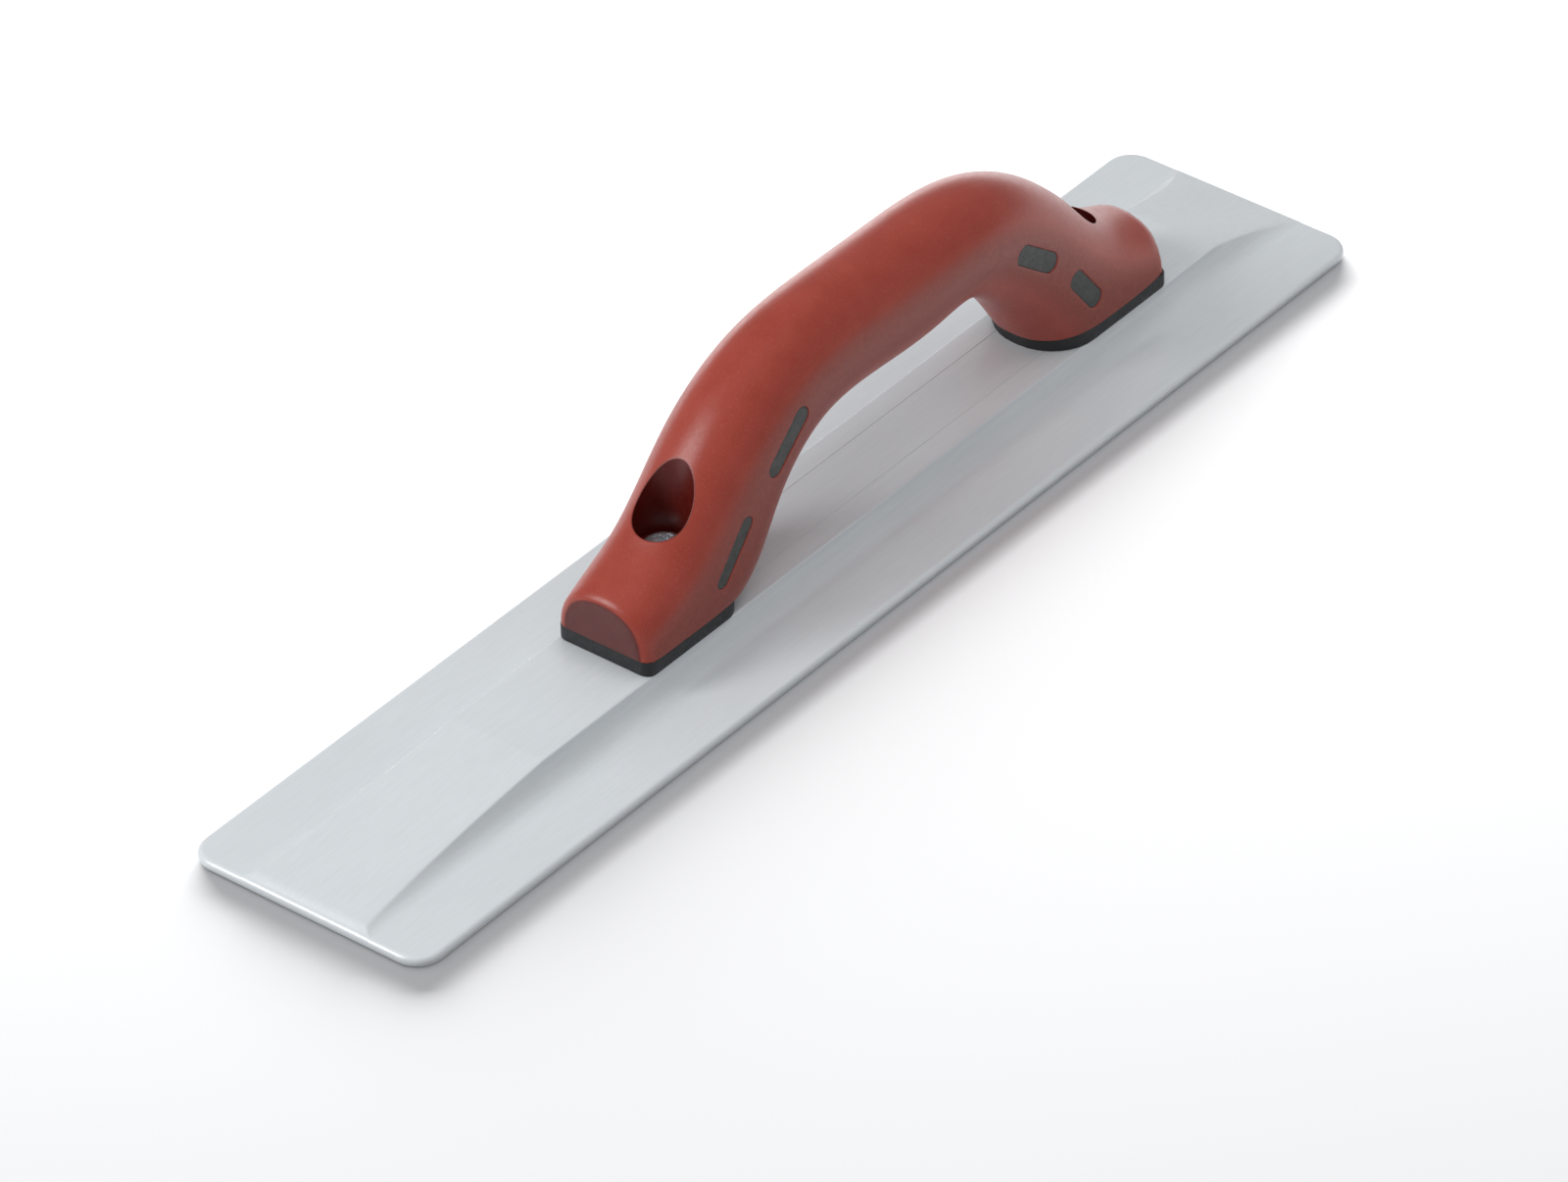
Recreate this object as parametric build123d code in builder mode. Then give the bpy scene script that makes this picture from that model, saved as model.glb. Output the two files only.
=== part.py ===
"""Magnesium hand float: a ribbed blade with a soft-gripped handle screwed to it.

Frame, in millimetres: origin at the middle of the blade's underside, +X along the
blade, +Y across it, +Z up.  The handle is modelled from its own origin, which lies
on the seat plane, the top of its feet's dark flanges, halfway between the foot ends.
"""
import os
from math import cos, pi, sin

from build123d import *

# ---- driving dimensions ----------------------------------------------------
# blade
BLADE_LENGTH = 406.4  # 16 in
BLADE_WIDTH = 79.4  # 3-1/8 in
FLANGE_THICKNESS = 3.2
CORNER_RADIUS = 8.0  # in plan
EDGE_RADIUS = 1.4  # rounding of the long and short edges
RAIL_HEIGHT = 6.9  # raised centre rail, above the flange
RAIL_HALF_WIDTH = 15.45  # of the rail's flat top
LONG_RAMP_RUN = 79.0  # the rail runs down to the blade's -X end over this length
LONG_RAMP_END_HEIGHT = 1.2  # what is left of it above the flange, before its toe
TOE_RUN = 3.2  # last bit of that end, chamfered down to the flange
SHORT_RAMP_RUN = 33.0  # the ramp at the +X end, which has no toe
RAMP_TIP_HEIGHT = 0.15  # of the rail above the flange at its very ends
SCRIBE_Y = 8.2  # two fine lines along the rail
SCRIBE_WIDTH = 0.5
SCRIBE_DEPTH = 0.25

# handle
FOOT_SPAN = 229.0  # from the front foot's end to the rear foot's end
HANDLE_OFFSET = 11.0  # handle's middle, towards +X from the middle of the rail's flat top
HANDLE_RISE = 64.3  # highest point above the seat plane
GRIP_HALF_WIDTH = 15.6
FOOT_SWELL = 0.4  # feet wider than the grip, on each side
FOOT_CORNER_RADIUS = 2.6
FRONT_FOOT_LENGTH = 40.5
FRONT_FOOT_BACK_RADIUS = 7.0  # corners of its inner end
REAR_FOOT_LENGTH = 49.0
REAR_FOOT_BACK_RADIUS = 15.0
BASE_THICKNESS = 4.6  # dark flange under each foot
BASE_MARGIN = 0.4  # flange set back from the red grip above it
SKIN = 3.0  # soft grip over the core

# screws, 1/4 in, and their washers
SCREW_DIAMETER = 6.2
SCREW_TIP_CLEARANCE = 1.2  # tip above the floor of its tapped hole
HEAD_DIAMETER = 12.4
HEAD_HEIGHT = 4.4
HEAD_DOME = 2.6  # height of the rounded upper part of the head
RECESS_SPAN = 6.6  # cross recess, tip to tip
RECESS_WIDTH = 1.5
RECESS_DEPTH = 2.4
WASHER_DIAMETER = 12.2
WASHER_THICKNESS = 1.6
WASHER_SLIT = 1.0
TAPPED_FLOOR = 3.0  # metal left under the tapped holes

# screw pockets in the handle
POCKET_RADIUS = 8.2
POCKET_INSET = 26.5  # pocket axis in from each foot end
POCKET_FLOOR = 15.3  # top of the lining's floor, above the seat plane
LINING = 1.5  # soft lining of the pocket's wall
LINING_FLOOR = 2.0  # soft ring round the washer

# clearances
SHANK_CLEARANCE = 0.35  # radial, screw in the core
THREAD_CLEARANCE = 0.05  # radial, screw in the tapped hole
WASHER_BORE_CLEARANCE = 0.15  # radial
WASHER_SEAT_CLEARANCE = 0.5  # radial, washer in the lining's floor ring

# ---- derived ---------------------------------------------------------------
RAIL_TOP = FLANGE_THICKNESS + RAIL_HEIGHT
SEAT_Z = RAIL_TOP + BASE_THICKNESS
HANDLE_X = (LONG_RAMP_RUN - SHORT_RAMP_RUN) / 2 + HANDLE_OFFSET
FOOT_HALF_WIDTH = GRIP_HALF_WIDTH + FOOT_SWELL
FRONT_END = HANDLE_X - FOOT_SPAN / 2
REAR_END = HANDLE_X + FOOT_SPAN / 2
FRONT_SCREW_X = FRONT_END + POCKET_INSET
REAR_SCREW_X = REAR_END - POCKET_INSET
CORE_FLOOR = SEAT_Z + POCKET_FLOOR - LINING_FLOOR
HEAD_SEAT = CORE_FLOOR + WASHER_THICKNESS
SCREW_LENGTH = HEAD_SEAT - TAPPED_FLOOR - SCREW_TIP_CLEARANCE  # under the head
SHANK_HOLE_RADIUS = SCREW_DIAMETER / 2 + SHANK_CLEARANCE
TAPPED_RADIUS = SCREW_DIAMETER / 2 + THREAD_CLEARANCE
CLEAR_OF_ALL = SEAT_Z + HANDLE_RISE + 30  # a height above everything

# Handle sections, from the front foot to the rear foot.  Each lies across the
# handle and is given by its top and bottom points, as (x, z) from the handle's
# origin for a span of 229 and a rise of 64.3, then by how much wider it is than the
# grip on each side, and by the roundness of its upper and lower halves: 2 is an
# ellipse, more is squarer.  The first and last are trimmed away beyond the feet.
NOMINAL_SPAN = 229.0
NOMINAL_RISE = 64.3
SECTIONS = [
    ((-134.5, 1.0), (-112.5, -31.0), 0.3, 2.3, 5.0),
    ((-114.0, 14.0), (-93.5, -11.0), 0.4, 2.3, 5.0),
    ((-96.0, 24.0), (-71.5, -2.0), 0.7, 2.3, 5.0),
    ((-72.5, 46.8), (-55.0, 16.0), 0.7, 2.2, 3.5),
    ((-44.5, 61.8), (-36.5, 28.0), 0.1, 2.1, 2.4),
    ((-13.5, 64.1), (-13.5, 30.4), 0.0, 2.1, 2.2),
    ((13.0, 63.8), (12.0, 29.8), 0.1, 2.1, 2.2),
    ((44.0, 61.0), (31.3, 30.4), -0.2, 2.1, 2.2),
    ((72.5, 45.5), (51.0, 17.5), -0.6, 2.1, 2.5),
    ((98.5, 21.5), (67.5, -4.5), 0.6, 2.2, 2.8),
    ((119.5, 11.5), (86.5, -22.0), 0.7, 2.3, 5.0),
    ((139.0, -0.5), (107.5, -38.0), 0.3, 2.3, 5.0),
]
SECTION_POINTS = 24

# Side windows where the core shows through the grip: middle (x, z) from the
# handle's origin, length, width and slope in degrees
WINDOWS = [
    ((-78.2, 15.8), 20.5, 3.8, 51.0),
    ((-54.5, 38.0), 20.5, 5.4, 40.0),
    ((55.5, 35.5), 19.0, 6.3, -37.0),
    ((76.2, 14.8), 17.5, 5.0, -53.0),
]
WINDOW_CORNER = 0.42  # corner radius as a share of the window's width


# ---- blade -----------------------------------------------------------------
half_length = BLADE_LENGTH / 2
rail_end = half_length - EDGE_RADIUS  # the rail stops where the blade's end rounds over
rail_foot = RAIL_HALF_WIDTH + RAIL_HEIGHT  # its coved sides meet the flange here
rail_root = FLANGE_THICKNESS / 2  # it is joined to the flange from this height

with BuildPart() as rail_body:
    with BuildSketch(Plane.YZ.offset(-rail_end)):
        with BuildLine():
            Polyline(
                (-rail_foot, FLANGE_THICKNESS),
                (-rail_foot, rail_root),
                (rail_foot, rail_root),
                (rail_foot, FLANGE_THICKNESS),
            )
            CenterArc((rail_foot, RAIL_TOP), RAIL_HEIGHT, 180, 90)
            Line((RAIL_HALF_WIDTH, RAIL_TOP), (-RAIL_HALF_WIDTH, RAIL_TOP))
            CenterArc((-rail_foot, RAIL_TOP), RAIL_HEIGHT, -90, 90)
        make_face()
    extrude(amount=2 * rail_end)
    # ramps at both ends, as seen from the side: what lies above them comes off
    long_ramp = [
        (LONG_RAMP_RUN - half_length, RAIL_TOP),
        (TOE_RUN - half_length, FLANGE_THICKNESS + LONG_RAMP_END_HEIGHT),
        (-rail_end, FLANGE_THICKNESS + RAMP_TIP_HEIGHT),
    ]
    short_ramp = [
        (half_length - SHORT_RAMP_RUN, RAIL_TOP),
        (rail_end, FLANGE_THICKNESS + RAMP_TIP_HEIGHT),
    ]
    with BuildSketch(Plane.XZ):
        for ramp in (long_ramp, short_ramp):
            with BuildLine():
                Polyline(*ramp, (ramp[-1][0], CLEAR_OF_ALL), (ramp[0][0], CLEAR_OF_ALL), close=True)
            make_face()
    extrude(amount=BLADE_WIDTH, both=True, mode=Mode.SUBTRACT)

with BuildPart() as blade:
    with BuildSketch():
        RectangleRounded(BLADE_LENGTH, BLADE_WIDTH, CORNER_RADIUS)
    extrude(amount=FLANGE_THICKNESS)
    fillet(blade.faces().filter_by(Axis.Z).edges(), EDGE_RADIUS)
    add(rail_body.part)
    # scribed lines along the rail, between the ramps
    scribe_start = LONG_RAMP_RUN - half_length
    scribe_end = half_length - SHORT_RAMP_RUN
    with BuildSketch(Plane.XY.offset(RAIL_TOP)):
        for side in (-1, 1):
            with Locations(((scribe_start + scribe_end) / 2, side * SCRIBE_Y)):
                Rectangle(scribe_end - scribe_start, SCRIBE_WIDTH)
    extrude(amount=-SCRIBE_DEPTH, mode=Mode.SUBTRACT)
    # blind tapped holes
    with BuildSketch(Plane.XY.offset(RAIL_TOP)):
        with Locations((FRONT_SCREW_X, 0), (REAR_SCREW_X, 0)):
            Circle(TAPPED_RADIUS)
    extrude(amount=TAPPED_FLOOR - RAIL_TOP, mode=Mode.SUBTRACT)


# ---- handle shape ----------------------------------------------------------
def section_plane(top, under):
    """Plane across the handle whose X is the object's Y and whose Y runs up the section."""
    middle = (top + under) / 2
    return Plane(origin=middle, x_dir=(0, 1, 0), z_dir=Vector(0, 1, 0).cross(top - under))


def section_outline(half_width, half_height, upper_roundness, lower_roundness):
    """Points round a softened ellipse whose halves may differ in squareness."""
    points = []
    for i in range(SECTION_POINTS):
        angle = 2 * pi * i / SECTION_POINTS
        power = 2 / (upper_roundness if sin(angle) > 0 else lower_roundness)
        across = half_width * abs(cos(angle)) ** power
        up = half_height * abs(sin(angle)) ** power
        points.append((across if cos(angle) > 0 else -across, up if sin(angle) > 0 else -up))
    return points


def handle_point(x, z):
    """A point of the section list, moved to the blade's frame at the present sizes."""
    return Vector(
        HANDLE_X + x * FOOT_SPAN / NOMINAL_SPAN,
        0,
        SEAT_Z + z * HANDLE_RISE / NOMINAL_RISE,
    )


def handle_sections(inset):
    """Sections of the whole handle for a loft, drawn inset from its surface."""
    sections = []
    for top_xz, under_xz, swell, upper_roundness, lower_roundness in SECTIONS:
        top = handle_point(*top_xz)
        under = handle_point(*under_xz)
        half_height = (top - under).length / 2 - inset
        half_width = GRIP_HALF_WIDTH + swell - inset
        with BuildSketch(section_plane(top, under), mode=Mode.PRIVATE) as outline:
            with BuildLine():
                roundness = (upper_roundness, lower_roundness)
                points = section_outline(half_width, half_height, *roundness)
                Spline(*points, periodic=True)
            make_face()
        sections.append(outline.sketch)
    return sections


def handle_plan(inset):
    """Plan that trims a lofted handle: upright ends with rounded corners, then flaring sides."""
    corner = FOOT_CORNER_RADIUS
    flat = FOOT_HALF_WIDTH - inset - corner
    side = flat + corner
    flare = 3 * corner
    with BuildSketch(Plane.XY.offset(SEAT_Z), mode=Mode.PRIVATE) as plan:
        with BuildLine():
            for end, inward in ((FRONT_END + inset, 1), (REAR_END - inset, -1)):
                Line((end, -flat), (end, flat))
                for y_side in (-1, 1):
                    finish = (end + inward * corner, y_side * side)
                    TangentArc((end, y_side * flat), finish, tangent=(0, y_side))
                    Line(finish, (end + inward * flare, y_side * (side + corner)))
            for y_side in (-1, 1):
                front = (FRONT_END + inset + flare, y_side * (side + corner))
                rear = (REAR_END - inset - flare, y_side * (side + corner))
                Line(front, rear)
        make_face()
    return plan.sketch


with BuildPart() as handle_shape:
    loft(sections=handle_sections(0))
    extrude(handle_plan(0), amount=2 * HANDLE_RISE, mode=Mode.INTERSECT)

with BuildPart() as core_shape:
    loft(sections=handle_sections(SKIN))
    extrude(handle_plan(SKIN), amount=2 * HANDLE_RISE, mode=Mode.INTERSECT)

# windows: bars across the handle, trimmed to its surface
with BuildPart() as window_pads:
    with BuildSketch(Plane.XZ):
        for (x, z), length, width, slope in WINDOWS:
            place = handle_point(x, z)
            with Locations(Location((place.X, place.Z), slope)):
                RectangleRounded(length, width, WINDOW_CORNER * width)
    extrude(amount=2 * FOOT_HALF_WIDTH, both=True)
    add(handle_shape.part, mode=Mode.INTERSECT)


# dark flanges under the feet
def flange_plan(outer_x, inner_x, back_radius):
    """Plan of one foot's flange, from its square outer end to its rounder inner end."""
    half = FOOT_HALF_WIDTH - BASE_MARGIN
    corners = [(outer_x, -half), (inner_x, -half), (inner_x, half), (outer_x, half)]
    radii = [FOOT_CORNER_RADIUS, back_radius, back_radius, FOOT_CORNER_RADIUS]
    with BuildSketch(Plane.XY.offset(RAIL_TOP), mode=Mode.PRIVATE) as plan:
        with BuildLine():
            FilletPolyline(*corners, radius=radii, close=True)
        make_face()
    return plan.sketch


front_plan = flange_plan(
    FRONT_END + BASE_MARGIN, FRONT_END + FRONT_FOOT_LENGTH, FRONT_FOOT_BACK_RADIUS
)
rear_plan = flange_plan(REAR_END - BASE_MARGIN, REAR_END - REAR_FOOT_LENGTH, REAR_FOOT_BACK_RADIUS)
with BuildPart() as base_flanges:
    extrude(front_plan, amount=BASE_THICKNESS)
    extrude(rear_plan, amount=BASE_THICKNESS)

# ---- core and grip ---------------------------------------------------------
with BuildPart() as handle_core:
    add(core_shape.part)
    add(window_pads.part)
    add(base_flanges.part)
    # room for the pockets' lining, and the screw holes
    with BuildSketch(Plane.XY.offset(CORE_FLOOR)):
        with Locations((FRONT_SCREW_X, 0), (REAR_SCREW_X, 0)):
            Circle(POCKET_RADIUS + LINING)
    extrude(amount=CLEAR_OF_ALL, mode=Mode.SUBTRACT)
    with BuildSketch(Plane.XY.offset(RAIL_TOP)):
        with Locations((FRONT_SCREW_X, 0), (REAR_SCREW_X, 0)):
            Circle(SHANK_HOLE_RADIUS)
    extrude(amount=CLEAR_OF_ALL, mode=Mode.SUBTRACT)

with BuildPart() as soft_grip:
    add(handle_shape.part)
    # pockets, and the hole in each pocket's floor for the washer
    for radius, floor in (
        (POCKET_RADIUS, SEAT_Z + POCKET_FLOOR),
        (WASHER_DIAMETER / 2 + WASHER_SEAT_CLEARANCE, CORE_FLOOR),
    ):
        with BuildSketch(Plane.XY.offset(floor)):
            with Locations((FRONT_SCREW_X, 0), (REAR_SCREW_X, 0)):
                Circle(radius)
        extrude(amount=CLEAR_OF_ALL, mode=Mode.SUBTRACT)
    add(handle_core.part, mode=Mode.SUBTRACT)
    with BuildSketch(Plane.XY.offset(SEAT_Z)):
        with Locations((FRONT_SCREW_X, 0), (REAR_SCREW_X, 0)):
            Circle(SHANK_HOLE_RADIUS)
    extrude(amount=CORE_FLOOR - SEAT_Z, mode=Mode.SUBTRACT)


# ---- screws and washers ----------------------------------------------------
def pan_head_screw():
    """Pan head screw at the origin, its head's seat on the XY plane, pointing down."""
    head_radius = HEAD_DIAMETER / 2
    dome_radius = (head_radius**2 + HEAD_DOME**2) / (2 * HEAD_DOME)
    with BuildPart() as screw:
        with BuildSketch():
            Circle(head_radius)
        extrude(amount=HEAD_HEIGHT)
        with Locations((0, 0, HEAD_HEIGHT - dome_radius)):
            Sphere(dome_radius, mode=Mode.INTERSECT)
        with BuildSketch():
            Circle(SCREW_DIAMETER / 2)
        extrude(amount=-SCREW_LENGTH)
        chamfer(screw.faces().sort_by(Axis.Z)[0].edges(), 0.15 * SCREW_DIAMETER)
        # cross recess
        with BuildSketch(Plane.XY.offset(HEAD_HEIGHT)):
            Rectangle(RECESS_SPAN, RECESS_WIDTH)
            Rectangle(RECESS_WIDTH, RECESS_SPAN)
        extrude(amount=-RECESS_DEPTH, mode=Mode.SUBTRACT)
    return screw.part


def split_washer():
    """Split lock washer at the origin, lying on the XY plane."""
    with BuildPart() as washer:
        with BuildSketch():
            Circle(WASHER_DIAMETER / 2)
            Circle(SCREW_DIAMETER / 2 + WASHER_BORE_CLEARANCE, mode=Mode.SUBTRACT)
            with Locations(Location((WASHER_DIAMETER / 2, 0), 25)):
                Rectangle(WASHER_DIAMETER, WASHER_SLIT, mode=Mode.SUBTRACT)
        extrude(amount=WASHER_THICKNESS)
    return washer.part


# ---- labels and files ------------------------------------------------------
pieces = {
    "blade": blade.part,
    "handle_core": handle_core.part,
    "soft_grip": soft_grip.part,
}
for end_name, screw_x in (("front", FRONT_SCREW_X), ("rear", REAR_SCREW_X)):
    pieces[f"{end_name}_screw"] = pan_head_screw().moved(Location((screw_x, 0, HEAD_SEAT)))
    pieces[f"{end_name}_lock_washer"] = split_washer().moved(Location((screw_x, 0, CORE_FLOOR)))

os.makedirs("parts", exist_ok=True)
for node, piece in pieces.items():
    piece.label = node
    export_step(piece, f"parts/{node}.step")
    print(f"{node}: {len(piece.solids())} solid, {piece.volume / 1000:.1f} cm3")
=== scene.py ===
# %% [markdown]
# # A magnesium hand float
# A hand float is the long flat tool that closes the surface of fresh concrete or
# mortar. This one has a cast magnesium blade, 16 in long, stiffened by a raised rail
# down its middle. On the rail stands a bridge-shaped handle: a hard plastic core with
# a soft red grip moulded over it, held down by two screws at the bottom of round
# pockets. This lesson loads the tool's engineering model as a fixed frame and then
# rebuilds each visible piece as a fine mesh with its own finish.

# %% Load the frame
from math import atan2, cos, pi, radians, sin, sqrt

import bmesh
import bpy
import numpy as np
from mathutils import Matrix, Vector


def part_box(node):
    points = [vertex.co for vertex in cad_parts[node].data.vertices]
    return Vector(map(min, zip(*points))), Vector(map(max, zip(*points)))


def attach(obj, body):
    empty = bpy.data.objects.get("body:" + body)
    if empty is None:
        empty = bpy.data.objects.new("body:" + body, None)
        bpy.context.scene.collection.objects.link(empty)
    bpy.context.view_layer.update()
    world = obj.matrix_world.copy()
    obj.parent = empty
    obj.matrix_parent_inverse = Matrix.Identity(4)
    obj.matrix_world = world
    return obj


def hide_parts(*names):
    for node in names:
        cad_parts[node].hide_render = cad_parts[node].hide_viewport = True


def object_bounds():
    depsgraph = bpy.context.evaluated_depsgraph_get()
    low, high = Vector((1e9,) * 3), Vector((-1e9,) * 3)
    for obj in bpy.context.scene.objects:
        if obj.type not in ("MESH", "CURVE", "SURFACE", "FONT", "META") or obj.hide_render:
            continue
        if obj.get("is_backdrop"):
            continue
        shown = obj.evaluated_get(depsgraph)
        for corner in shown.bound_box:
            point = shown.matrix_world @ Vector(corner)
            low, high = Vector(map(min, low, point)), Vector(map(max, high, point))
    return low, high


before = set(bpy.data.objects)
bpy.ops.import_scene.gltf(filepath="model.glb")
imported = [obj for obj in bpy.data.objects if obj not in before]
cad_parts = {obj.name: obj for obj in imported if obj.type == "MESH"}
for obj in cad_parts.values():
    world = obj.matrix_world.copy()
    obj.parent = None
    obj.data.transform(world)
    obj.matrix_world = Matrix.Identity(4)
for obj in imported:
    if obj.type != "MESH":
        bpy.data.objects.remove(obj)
cad_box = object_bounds()
print("pieces in the frame:", ", ".join(sorted(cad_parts)))

# %% [markdown]
# Everything in Blender is in metres, but a maker thinks of a tool in millimetres, so
# the shapes below are worked out in millimetres and scaled once, when a mesh is made.
# Overall sizes and the places of the feet and the screws come from the frame itself.

# %% Sizes read from the frame
MM = 0.001


def box_mm(node):
    """Lowest and highest corner of one piece of the frame, in millimetres."""
    low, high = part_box(node)
    return np.array(low) / MM, np.array(high) / MM


blade_high = box_mm("blade")[1]
grip_low, grip_high = box_mm("soft_grip")
HALF_LENGTH = blade_high[0]
HALF_WIDTH = blade_high[1]
RAIL_TOP = blade_high[2]
SEAT_Z = grip_low[2]
FRONT_END = grip_low[0]
REAR_END = grip_high[0]
HANDLE_X = (FRONT_END + REAR_END) / 2
SCREW_X = {}
for end in ("front", "rear"):
    low, high = box_mm(f"{end}_screw")
    SCREW_X[end] = (low[0] + high[0]) / 2
print(f"blade {2 * HALF_LENGTH:.1f} x {2 * HALF_WIDTH:.1f} mm, rail top at {RAIL_TOP:.1f} mm")
print(f"handle from x = {FRONT_END:.1f} to {REAR_END:.1f} mm, screws at {SCREW_X}")

# %% [markdown]
# ## Camera
# A long tool is best seen from far away through a long lens, so that its two ends look
# almost the same size. The camera stands low on the left, in front of the blade's
# long-ramp end. It is given by its place, the compass direction and the downward tilt
# of its axis, and a very small roll, which together make its rotation.

# %% Camera
CAMERA_PLACE = Vector((-1.8688, -1.4836, 1.7473))
CAMERA_HEADING = radians(51.503)  # clockwise from +Y
CAMERA_TILT = radians(36.449)  # below the horizon
CAMERA_ROLL = radians(-0.721)
CAMERA_LENS = 253.49  # in mm, like the sensor
CAMERA_SENSOR = 36
CAMERA_REACH = 50  # in metres

camera_data = bpy.data.cameras.new("studio_camera")
camera_data.sensor_width = CAMERA_SENSOR
camera_data.lens = CAMERA_LENS
camera_data.clip_end = CAMERA_REACH
camera = bpy.data.objects.new("studio_camera", camera_data)
heading = Matrix.Rotation(-CAMERA_HEADING, 4, "Z")
tilt = Matrix.Rotation(pi / 2 - CAMERA_TILT, 4, "X")
roll = Matrix.Rotation(CAMERA_ROLL, 4, "Z")
camera.matrix_world = Matrix.Translation(CAMERA_PLACE) @ heading @ tilt @ roll
bpy.context.scene.collection.objects.link(camera)
bpy.context.scene.camera = camera
print(f"camera {CAMERA_PLACE.length:.2f} m from the float, {CAMERA_LENS:.0f} mm lens")

# %% [markdown]
# ## Studio
# The float lies on a plain white table. A large soft light overhead and a tall one on
# the left shape it. A low, wide one behind it lights the table and throws a short, soft
# shadow towards the viewer. A pale surround fills the shadows and gives the metal
# something even to reflect. A plain colour transform keeps white paper white.

# %% Floor, lights and surround
scene = bpy.context.scene
scene.view_settings.view_transform = "Standard"

FLOOR_SIZE = 12.0
floor_mesh = bpy.data.meshes.new("floor")
half = FLOOR_SIZE / 2
floor_mesh.from_pydata(
    [(-half, -half, 0), (half, -half, 0), (half, half, 0), (-half, half, 0)], [], [(0, 1, 2, 3)]
)
floor = bpy.data.objects.new("floor", floor_mesh)
scene.collection.objects.link(floor)
floor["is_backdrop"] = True

floor_finish = bpy.data.materials.new("white_table")
floor_finish.use_nodes = True
floor_shader = floor_finish.node_tree.nodes["Principled BSDF"]
floor_shader.inputs["Base Color"].default_value = (0.92, 0.92, 0.925, 1)
floor_shader.inputs["Roughness"].default_value = 0.9
floor_shader.inputs["Specular IOR Level"].default_value = 0.1
floor_mesh.materials.append(floor_finish)


def softbox(name, place, size, power, mirrored=True):
    """A soft light that faces the float; it may be kept out of reflections."""
    light = bpy.data.lights.new(name, "AREA")
    light.shape = "RECTANGLE"
    light.size, light.size_y = size
    light.energy = power
    lamp = bpy.data.objects.new(name, light)
    lamp.location = place
    lamp.rotation_euler = (-Vector(place)).to_track_quat("-Z", "Y").to_euler()
    lamp.visible_glossy = mirrored
    scene.collection.objects.link(lamp)
    return lamp


overhead_light = softbox("overhead_softbox", (0.2, -0.1, 2.2), (1.8, 1.8), 25, mirrored=False)
left_light = softbox("tall_left_softbox", (-1.3, 0.85, 1.05), (0.6, 1.0), 20)
table_light = softbox("table_softbox", (1.2, 1.3, 0.34), (1.6, 0.5), 160, mirrored=False)

surround = bpy.data.worlds.new("pale_surround")
surround.use_nodes = True
background = surround.node_tree.nodes["Background"]
background.inputs["Color"].default_value = (0.97, 0.98, 1, 1)
background.inputs["Strength"].default_value = 0.44
scene.world = surround
print("studio: overhead, left and low softboxes, pale surround")

# %% [markdown]
# ## A shell of points and faces
# Each piece below is made of rings of points joined by bands of four-sided faces, the
# way a potter builds with coils. The small class here keeps the points and the faces
# of one piece, and joins rings: `band` joins two rings of equal count, and `zip_flat`
# joins two flat rings of different counts by walking round both at once. A small rounded
# edge is a few rings along a soft curve.


# %% Shell
class Shell:
    """Points and faces of one piece, in millimetres, gathered ring by ring."""

    def __init__(self):
        self.points = []
        self.faces = []

    def add(self, points):
        """Adds points and returns their numbers."""
        first = len(self.points)
        self.points.extend(tuple(float(c) for c in p) for p in points)
        return list(range(first, len(self.points)))

    def place(self, numbers):
        """Where some of the points are."""
        return np.array([self.points[i] for i in numbers])

    def band(self, ring, other):
        """Four-sided faces between two closed rings of equal count."""
        for i in range(len(ring)):
            j = (i + 1) % len(ring)
            self.faces.append((ring[i], ring[j], other[j], other[i]))

    def grid(self, numbers, left_out=()):
        """Four-sided faces over a grid of points, apart from the places left out."""
        for i in range(len(numbers) - 1):
            for j in range(len(numbers[i]) - 1):
                if (i, j) not in left_out:
                    near, far = numbers[i], numbers[i + 1]
                    corners = near[j], far[j], far[j + 1], near[j + 1]
                    self.faces.append(tuple(int(c) for c in corners))

    def follow(self, ring, *rings):
        """Continues a ring through further rings of points, and returns the last."""
        for points in rings:
            following = self.add(points)
            self.band(ring, following)
            ring = following
        return ring

    def zip_flat(self, ring, other, centre):
        """Three-sided faces between two flat closed rings round a common centre."""
        turned = []
        for numbers in (ring, other):
            offset = self.place(numbers)[:, :2] - centre[:2]
            angles = np.arctan2(offset[:, 1], offset[:, 0]) % (2 * pi)
            order = np.argsort(angles)
            turned.append(([numbers[k] for k in order], angles[order]))
        (a, a_angles), (b, b_angles) = turned
        i, j = 0, 0
        while i < len(a) or j < len(b):
            next_a = a_angles[i + 1] if i + 1 < len(a) else 2 * pi + a_angles[0]
            next_b = b_angles[j + 1] if j + 1 < len(b) else 2 * pi + b_angles[0]
            here, there = a[i % len(a)], b[j % len(b)]
            if j >= len(b) or (i < len(a) and next_a <= next_b):
                self.faces.append((here, a[(i + 1) % len(a)], there))
                i += 1
            else:
                self.faces.append((here, b[(j + 1) % len(b)], there))
                j += 1

    def build(self, name, crease=35):
        """Makes the mesh object, in metres, with edges sharper than the crease kept crisp."""
        mesh = bpy.data.meshes.new(name)
        mesh.from_pydata([tuple(c * MM for c in p) for p in self.points], [], self.faces)
        work = bmesh.new()
        work.from_mesh(mesh)
        loose = [v for v in work.verts if not v.link_faces]
        bmesh.ops.delete(work, geom=loose, context="VERTS")
        bmesh.ops.recalc_face_normals(work, faces=work.faces)
        open_edges = sum(1 for e in work.edges if not e.is_manifold)
        work.to_mesh(mesh)
        work.free()
        mesh.polygons.foreach_set("use_smooth", [True] * len(mesh.polygons))
        mesh.set_sharp_from_angle(angle=radians(crease))
        piece = bpy.data.objects.new(name, mesh)
        scene.collection.objects.link(piece)
        print(f"{name}: {len(mesh.polygons)} faces, {open_edges} open edges")
        return piece


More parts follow.
